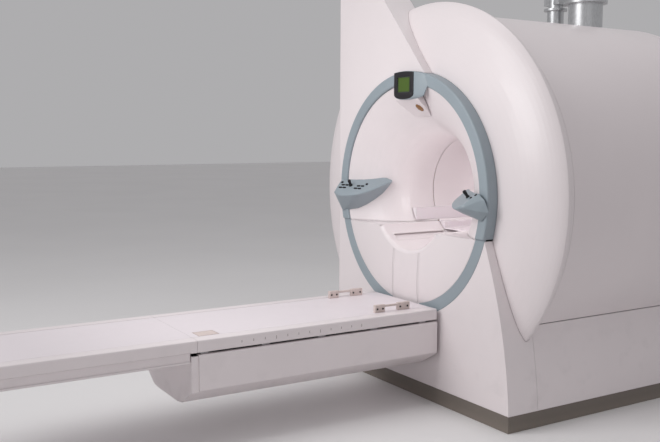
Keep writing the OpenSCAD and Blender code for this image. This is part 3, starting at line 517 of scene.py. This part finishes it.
def turned(name, profile, matrix, steps):
    """A profile of (radius, height) points turned about its height, then placed."""
    work = bmesh.new()
    rings = []
    for radius, height in profile:
        if radius < 1e-6:
            rings.append([work.verts.new((0, 0, height))])
        else:
            rings.append([
                work.verts.new((radius * math.cos(a), radius * math.sin(a), height))
                for a in (2 * math.pi * i / steps for i in range(steps))
            ])
    for first, second in zip(rings, rings[1:]):
        for i in range(steps):
            j = (i + 1) % steps
            corners = [first[i % len(first)], first[j % len(first)]]
            corners += [second[j % len(second)], second[i % len(second)]]
            unique = list(dict.fromkeys(corners))
            if len(unique) > 2:
                work.faces.new(unique)
    bmesh.ops.recalc_face_normals(work, faces=work.faces)
    bmesh.ops.transform(work, matrix=matrix, verts=work.verts)
    return from_bmesh(name, work, 40)


def block(name, corner, far, width=0.001):
    """A box between two corners, with its edges eased."""
    (x0, y0, z0), (x1, y1, z1) = corner, far
    piece = prism(name, [(x0, z0), (x1, z0), (x1, z1), (x0, z1)], y0, y1)
    return bevel(piece, width, 2)


def joined(name, pieces):
    """One piece made of several loose ones."""
    work = bmesh.new()
    for piece in pieces:
        work.from_mesh(piece.data)
        bpy.data.objects.remove(piece)
    return from_bmesh(name, work)


def dress(piece, slot, body, *nodes, finish=None):
    """Gives a piece its finish and the body it moves with."""
    piece.data.materials.clear()
    piece.data.materials.append(FINISH[finish or slot])
    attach(piece, body)
    if nodes:
        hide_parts(*nodes)
    return piece


def facing(place, normal, spin=(1.0, 0.0, 0.0)):
    """The matrix that lays a piece made round Z on a place, along a normal."""
    up = Vector(normal).normalized()
    side = (Vector(spin) - up * Vector(spin).dot(up)).normalized()
    ahead = up.cross(side)
    turn = Matrix((side, ahead, up)).transposed().to_4x4()
    return Matrix.Translation(Vector(place)) @ turn


# Operators


class SCANNER_OT_finishes(bpy.types.Operator):
    """Gives every node of the frame the finish of its material slot"""

    bl_idname = "scanner.finishes"
    bl_label = "Finishes"

    def execute(self, context):
        FINISH.update(make_finishes())
        for part in frame["record"]["subparts"]:
            finish_node(part["node"], part["material_slot"])
        return {"FINISHED"}


class SCANNER_OT_stage(bpy.types.Operator):
    """Sets the floor, the lamps and the camera"""

    bl_idname = "scanner.stage"
    bl_label = "Stage"

    def execute(self, context):
        scene = context.scene
        self.floor()
        self.lamps()
        self.camera(scene)
        scene.view_settings.view_transform = "Standard"
        return {"FINISHED"}

    def floor(self):
        bpy.ops.mesh.primitive_plane_add(size=60, location=(0, 0, -0.0005))
        floor = bpy.context.object
        floor.name = "studio_floor"
        s = Shader("studio_floor")
        base = s.mix(s.noise(0.6).fade(0.3, 0.7), *FLOOR_COLOURS)
        floor.data.materials.append(s.finish(base, 0.55))

    def lamps(self):
        world = bpy.data.worlds.new("studio_air")
        bpy.context.scene.world = world
        world.use_nodes = True
        air = world.node_tree.nodes["Background"].inputs
        air["Color"].default_value = tint(AIR_COLOUR)
        air["Strength"].default_value = AIR_STRENGTH
        for row in LAMPS:
            self.lamp(*row)

    def lamp(self, name, place, target, size, power):
        data = bpy.data.lights.new(name, "AREA")
        data.size = size
        data.energy = power
        lamp = bpy.data.objects.new(name, data)
        lamp.location = place
        lamp.rotation_euler = (Vector(target) - Vector(place)).to_track_quat("-Z", "Y").to_euler()
        bpy.context.collection.objects.link(lamp)

    def camera(self, scene):
        data = bpy.data.cameras.new("photo_camera")
        data.sensor_width = 36.0
        data.lens = scene.scanner_sizes.lens
        camera = bpy.data.objects.new("photo_camera", data)
        place = Matrix.Translation(CAMERA_PLACE)
        for angle, about in CAMERA_TURNS:
            place @= Matrix.Rotation(math.radians(angle), 4, about)
        camera.matrix_world = place
        scene.collection.objects.link(camera)
        scene.camera = camera


class SCANNER_OT_display(bpy.types.Operator):
    """Builds the display head above the mouth and the light-marker housing under it"""

    bl_idname = "scanner.display"
    bl_label = "Display"

    def execute(self, context):
        self.face = low("display_screen").y
        self.head()
        self.marker()
        self.bezel()
        return {"FINISHED"}

    def marker(self):
        """The light-marker housing, drawn in towards its top, and its amber window."""
        piece = softened("marker_housing", "laser_housing", 0.002, 10)
        foot, height, taper = low("laser_housing").z, 0.09, 0.34
        for vertex in piece.data.vertices:
            rise = min(1.0, max(0.0, (vertex.co.z - foot) / height))
            vertex.co.x *= 1 - taper * rise
        # The window lies on the sloping face that looks forward and down
        outward = Vector((0, -0.589, -0.808))
        middle = Vector((0.044, FRONT + 0.042, foot + 0.043))
        tree = BVHTree.FromObject(piece, bpy.context.evaluated_depsgraph_get())
        spot, normal = tree.ray_cast(middle + outward * 0.1, -outward, 0.3)[:2]
        dress(piece, "cover_white", "gantry", "laser_housing")
        lens = [(0, 0.0016), (0.008, 0.0013), (0.0105, 0.0002), (0.0118, 0.0004),
                (0.0126, 0.0012), (0.0136, 0.0010), (0.0140, -0.0012)]
        place = facing(spot + normal * 0.0008, normal, (0.12, -0.6, 0.45))
        place @= Matrix.Diagonal((2.0, 1.6, 1.0, 1.0))
        window = turned("marker_window", lens, place, 40)
        dress(window, "screen_glass", "gantry", finish="amber_glass")

    def outline(self, half, grow=0.0):
        """The bezel's outline: an arch along the ring, straight sides and a bowed foot."""
        top = AXIS + RING_OUT - 0.001 + grow
        foot = low("display_screen").z - 0.037 - grow
        rise = 0.027
        arch = []
        for i in range(-8, 9):
            x = half * i / 8
            arch.append((x, top - RING_OUT * (1 - math.cos(math.asin(x / RING_OUT)))))
        bow = [(half * math.cos(a), foot + rise - rise * math.sin(a) ** 0.85)
               for a in (math.radians(12 * i) for i in range(16))]
        return arch + bow

    def head(self):
        """A moulding that slopes from the bezel out to the ring, long on the right."""
        inner = self.outline(0.0855, 0.0025)
        outer = []
        for x, z in inner:
            if z > AXIS + RING_OUT * 0.985:
                x = x * (1.24 if x < 0 else 1.78)
                z = AXIS + math.sqrt(RING_OUT ** 2 - x ** 2) - 0.002
            else:
                x = x * (1.22 if x < 0 else 1.74)
            outer.append((x, z))
        # A waist on either side, where the slope turns down towards the foot
        waist, corner = low("display_screen").z + 0.034, 17
        outer.insert(corner, (0.178, waist))
        inner.insert(corner, (inner[corner - 1][0], waist))
        outer.append((-0.1075, waist))
        inner.append((inner[0][0], waist))
        levels = ((outer, HOOP_FACE + 0.004), (outer, HOOP_FACE - 0.0002),
                  (inner, self.face + 0.0006))
        rows = [[(x, y, z) for x, z in outline] for outline, y in levels]
        piece = lofted("display_head", rows)
        dress(bevel(piece, 0.004, 3, 25), "ring_grey", "gantry", "display_housing")

    def bezel(self):
        """The black plate round the screen."""
        plate = prism("screen_bezel", self.outline(0.0825), self.face - 0.0035, self.face + 0.002)
        half, reach, gap = 0.0530, 0.02, 0.0008
        window = block(
            "window", (-half, self.face - reach, low("display_screen").z - gap),
            (half, self.face + reach, high("display_screen").z + gap), 0.004)
        dress(bevel(cut_away(plate, window), 0.0012, 2), "control_black", "gantry")


class SCANNER_OT_consoles(bpy.types.Operator):
    """Builds the moulded bodies of the two control consoles"""

    bl_idname = "scanner.consoles"
    bl_label = "Consoles"

    def execute(self, context):
        for side in ("left", "right"):
            node = f"console_{side}"
            piece = softened(f"{side}_console", node, 0.0019, 5)
            if side == "right":
                self.shorten(piece)
            self.cut_wells(piece, side)
            dress(piece, "ring_grey", "gantry", node)
        return {"FINISHED"}

    def shorten(self, piece):
        """Draws the right console in: it is the shorter and shallower one of the two."""
        joint = next(j for j in frame["joints"] if j["name"] == "joystick_right_tilt")
        origin = Vector(joint["pos_m"])
        along = Vector((math.cos(PANEL_YAW), -math.sin(PANEL_YAW), 0))
        level = math.cos(PANEL_TILT)
        uphill = Vector(
            (math.sin(PANEL_YAW) * level, math.cos(PANEL_YAW) * level, math.sin(PANEL_TILT)))
        tip, back, belly = -0.112, 0.026, 1.03
        for vertex in piece.data.vertices:
            past = (vertex.co - origin).dot(along) - tip
            if past < 0:
                vertex.co -= along * (past * 0.45)
            past = (vertex.co - origin).dot(uphill) - back
            if past > 0:
                vertex.co -= uphill * (past * 0.6)
            if vertex.co.z < belly:
                vertex.co.z = belly + (vertex.co.z - belly) * 0.55
            self.keep_off_funnel(vertex.co)

    def keep_off_funnel(self, point):
        """Draws a point in to the flared funnel's surface where it lies outside it."""
        throat, flare, depth = 0.2995, 0.275, 0.410
        inside = point.y - FRONT
        if inside > 0:
            limit = throat + flare * (1 - inside / depth) ** 3
            out = math.hypot(point.x, point.z - AXIS)
            if out > limit:
                point.x *= limit / out
                point.z = AXIS + (point.z - AXIS) * limit / out

    def cut_wells(self, piece, side):
        """Opens a well under each key, deep enough for its stroke."""
        spare, stroke = 0.0005, 0.0026
        cutters = bmesh.new()
        for joint in frame["joints"]:
            if not (joint["name"].startswith(side) and joint["name"].endswith("_press")):
                continue
            points = [v.co.copy() for v in NODES[joint["name"].replace("_press", "")].data.vertices]
            middle = sum(points, Vector()) / len(points)
            push = Vector(joint["axis"]).normalized() * stroke
            corners = []
            for point in points:
                grown = point + (point - middle).normalized() * spare
                corners += [cutters.verts.new(grown), cutters.verts.new(grown + push)]
            hull = bmesh.ops.convex_hull(cutters, input=corners)
            loose = [v for v in hull["geom_interior"] if isinstance(v, bmesh.types.BMVert)]
            bmesh.ops.delete(cutters, geom=loose, context="VERTS")
        cut_away(piece, from_bmesh("wells", cutters), 50)


class SCANNER_OT_seals(bpy.types.Operator):
    """Lays the pale seals in the joint between the funnel and the ledge"""

    bl_idname = "scanner.seals"
    bl_label = "Seals"

    def execute(self, context):
        funnel = BVHTree.FromObject(NODES["front_funnel"], context.evaluated_depsgraph_get())
        for name, side in (("left_seal", -1), ("right_seal", 1)):
            self.seal(name, side, funnel)
        return {"FINISHED"}

    def seal(self, name, side, funnel):
        """A ribbon just behind the funnel's face, which leans as the face does."""
        ledge, probe, steps = high("bib_panel").z, 0.010, 48
        section = ((0.0006, 0.0003), (0.004, 0.0003), (0.004, 0.0062), (0.0006, 0.0062))
        rows = []
        for i in range(steps + 1):
            y = FRONT + 0.003 + 0.398 * i / steps
            x = self.face(funnel, side, y, ledge + probe)
            if x is None:
                continue
            lean = (AXIS - ledge) / abs(x)
            rows.append([(x + side * (back - lean * (probe - up)), y, ledge + up)
                         for back, up in section])
        dress(lofted(name, rows), "cover_white", "gantry")

    def face(self, funnel, side, y, z):
        """The funnel's face, found sideways from the middle, or None past its ends."""
        spot = funnel.ray_cast(Vector((0, y, z)), Vector((side, 0, 0)), 0.7)[0]
        return spot.x if spot else None


class SCANNER_OT_rear_corner(bpy.types.Operator):
    """Fills the right lower cover out to the drum's rounded back edge"""

    bl_idname = "scanner.rear_corner"
    bl_label = "Rear corner"

    def execute(self, context):
        drum, back = high("rear_cover").x, high("rear_cover").y
        corner, gap, start, steps = 0.060, 0.0006, 0.0015, 40
        arc = [math.radians(8 + 7.2 * i) for i in range(11)]
        section = [(drum - corner + (corner + gap) * math.cos(a),
                    back - corner + (corner + gap) * math.sin(a)) for a in arc]
        section.append((drum + 0.0001, back - 0.0002))
        last = math.acos((AXIS - high("side_skirts").z + 0.0005) / drum)
        rows = []
        for i in range(steps + 1):
            turn = start + (last - start) * i / steps
            rows.append([(r * math.sin(turn), y, AXIS - r * math.cos(turn)) for r, y in section])
        dress(lofted("rear_corner_trim", rows), "cover_white", "gantry")
        return {"FINISHED"}


class SCANNER_OT_controls(bpy.types.Operator):
    """Rounds the keys and buttons and turns the joysticks with their rubber boots"""

    bl_idname = "scanner.controls"
    bl_label = "Controls"

    def execute(self, context):
        width = context.scene.scanner_sizes.key_edge
        for node in NODES:
            if "_key_" in node or "_button_" in node:
                cap = rounded(f"{node}_cap", node, width)
                dress(cap, "control_black", node + "_body", node)
        for joint in frame["joints"]:
            if joint["name"].startswith("joystick"):
                self.joystick(joint)
        return {"FINISHED"}

    def joystick(self, joint):
        """A knob on a waisted stick, square to the panel, and its ribbed rubber boot."""
        pivot = Vector(joint["pos_m"])
        side = math.copysign(1.0, pivot.x)
        up = Vector((-side * math.sin(PANEL_YAW), -math.cos(PANEL_YAW), 0)) * math.sin(PANEL_TILT)
        up.z = math.cos(PANEL_TILT)
        stick = [(0, -0.0106), (0.0058, -0.0090), (0.0098, -0.004), (0.0105, 0.0),
                 (0.0094, 0.004), (0.0072, 0.0072), (0.0066, 0.012), (0.0070, 0.019),
                 (0.0080, 0.027), (0.0089, 0.034), (0.0091, 0.039), (0.0086, 0.043),
                 (0.0066, 0.0456), (0.0034, 0.0462), (0, 0.0463)]
        boot = [(0.0085, 0.0050), (0.0088, 0.0085), (0.0100, 0.0112), (0.0101, 0.0122),
                (0.0088, 0.0126), (0.0092, 0.0142), (0.0080, 0.0146), (0.0083, 0.0160),
                (0.0068, 0.0166)]
        name = joint["name"].replace("_tilt", "")
        place = facing(pivot, up)
        dress(turned(f"{name}_knob", stick, place, 48), "control_black", joint["child"], name)
        dress(turned(f"{name}_boot", boot, place, 48), "belt_rubber", joint["child"])


class SCANNER_OT_shutters(bpy.types.Operator):
    """Builds the roller shutters that close the two arm slots above the arms"""

    bl_idname = "scanner.shutters"
    bl_label = "Shutters"

    def execute(self, context):
        bib = BVHTree.FromObject(NODES["bib_panel"], context.evaluated_depsgraph_get())
        arms = high("lift_carriage")
        lift = next(joint for joint in frame["joints"] if joint["name"] == "table_lift")
        foot, top = arms.z + 0.003, arms.z + max(lift["range_m"]) + 0.0045
        for name, side in (("left_shutter", -1), ("right_shutter", 1)):
            self.shutter(name, side, bib, foot, top)
        return {"FINISHED"}

    def shutter(self, name, side, bib, foot, top):
        """A thin strip that follows the crowned panel up."""
        middle, half, thick, sunk, steps = side * 0.110, 0.0058, 0.0012, 0.0008, 56
        panel_foot = AXIS - 0.574
        rows = []
        for i in range(steps + 1):
            z = foot + (top - foot) * i / steps
            start = Vector((middle + side * 0.012, FRONT - 0.1, z))
            spot = bib.ray_cast(start, Vector((0, 1, 0)), 0.12)[0]
            y = (spot.y if spot and z > panel_foot else FRONT) + sunk
            rows.append([(middle - half, y, z), (middle + half, y, z),
                         (middle + half, y + thick, z), (middle - half, y + thick, z)])
        piece = dress(lofted(name, rows), "cover_white", "gantry")
        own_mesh(piece)


class SCANNER_OT_table(bpy.types.Operator):
    """Dresses the table: strap brackets with their screws, scale marks and the inset plate"""

    bl_idname = "scanner.table"
    bl_label = "Table"

    def execute(self, context):
        brackets = rounded("cream_brackets", "strap_brackets", 0.004, 4)
        dress(brackets, "bracket_cream", "table", "strap_brackets")
        self.screws()
        self.marks()
        self.plate()
        return {"FINISHED"}

    def screws(self):
        """Socket screws through both walls of each bracket."""
        start, end = low("strap_brackets"), high("strap_brackets")
        wall = 0.009
        profile = [(0, 0.0010), (0.0022, 0.0010), (0.0024, 0.0024), (0.0040, 0.0024),
                   (0.0050, 0.0012), (0.0050, -0.002)]
        heads = []
        for side in (-1, 1):
            for face in (-1, 1):
                x = side * (end.x - wall) + face * wall
                for y in (start.y + 0.013, start.y + 0.045, end.y - 0.059, end.y - 0.015):
                    place = facing((x, y, start.z + 0.018), (face, 0, 0), (0, 1, 0))
                    heads.append(turned("head", profile, place, 20))
        dress(joined("bracket_screws", heads), "control_black", "table")

    def marks(self):
        """Short scale marks on both side rails, every fourth one longer."""
        strips = []
        first, pitch = high("table_rails").y - 0.455, 0.0575
        proud, half = 0.0004, 0.0010
        for i in range(12):
            y = first - i * pitch
            drop = 0.004 if i % 4 == 0 else 0.0
            for side in (-1, 1):
                x = side * TABLE_HALF
                strips.append(block(
                    "mark", (x - proud, y - half, TABLE_TOP - 0.035 - drop),
                    (x + proud, y + half, TABLE_TOP - 0.024), 0.0001))
        dress(joined("scale_marks", strips), "plinth_brown", "table")

    def plate(self):
        """The bare plate let into the right of the tabletop, in its shallow frame."""
        x0, x1, y0, y1 = 0.150, 0.229, FRONT - 1.288, FRONT - 1.190
        # How far each ring of the frame stands in from the edge, and how high
        rings = ((0.0, -0.0004), (0.0, 0.0009), (0.0014, 0.0009),
                 (0.0022, 0.0002), (0.0034, 0.0002), (0.0042, 0.0008))
        rows = []
        for inset, rise in rings:
            left, right, near, far = x0 + inset, x1 - inset, y0 + inset, y1 - inset
            z = TABLE_TOP + rise
            rows.append([(left, near, z), (right, near, z), (right, far, z), (left, far, z)])
        dress(lofted("table_plate", rows), "bracket_cream", "table")


class SCANNER_PT_panel(bpy.types.Panel):
    """Lists the scanner's sizes, finishes and pieces"""

    bl_idname = "SCANNER_PT_panel"
    bl_label = "Scanner"
    bl_space_type = "VIEW_3D"
    bl_region_type = "UI"
    bl_category = "Scanner"

    def draw(self, context):
        scene = context.scene
        for group in (scene.scanner_finishes, scene.scanner_sizes):
            for key in group.__annotations__:
                self.layout.prop(group, key)
        for step in STEPS:
            self.layout.operator(step.bl_idname)


STEPS = (
    SCANNER_OT_stage, SCANNER_OT_finishes, SCANNER_OT_display, SCANNER_OT_consoles,
    SCANNER_OT_controls, SCANNER_OT_seals, SCANNER_OT_rear_corner, SCANNER_OT_shutters,
    SCANNER_OT_table,
)
CLASSES = (ScannerFinishes, ScannerSizes) + STEPS + (SCANNER_PT_panel,)


def register():
    for kind in CLASSES:
        bpy.utils.register_class(kind)
    bpy.types.Scene.scanner_finishes = PointerProperty(type=ScannerFinishes)
    bpy.types.Scene.scanner_sizes = PointerProperty(type=ScannerSizes)


def unregister():
    del bpy.types.Scene.scanner_sizes
    del bpy.types.Scene.scanner_finishes
    for kind in reversed(CLASSES):
        bpy.utils.unregister_class(kind)


def main():
    register()
    for step in STEPS:
        group, name = step.bl_idname.split(".")
        getattr(getattr(bpy.ops, group), name)()


if __name__ == "__main__":
    main()
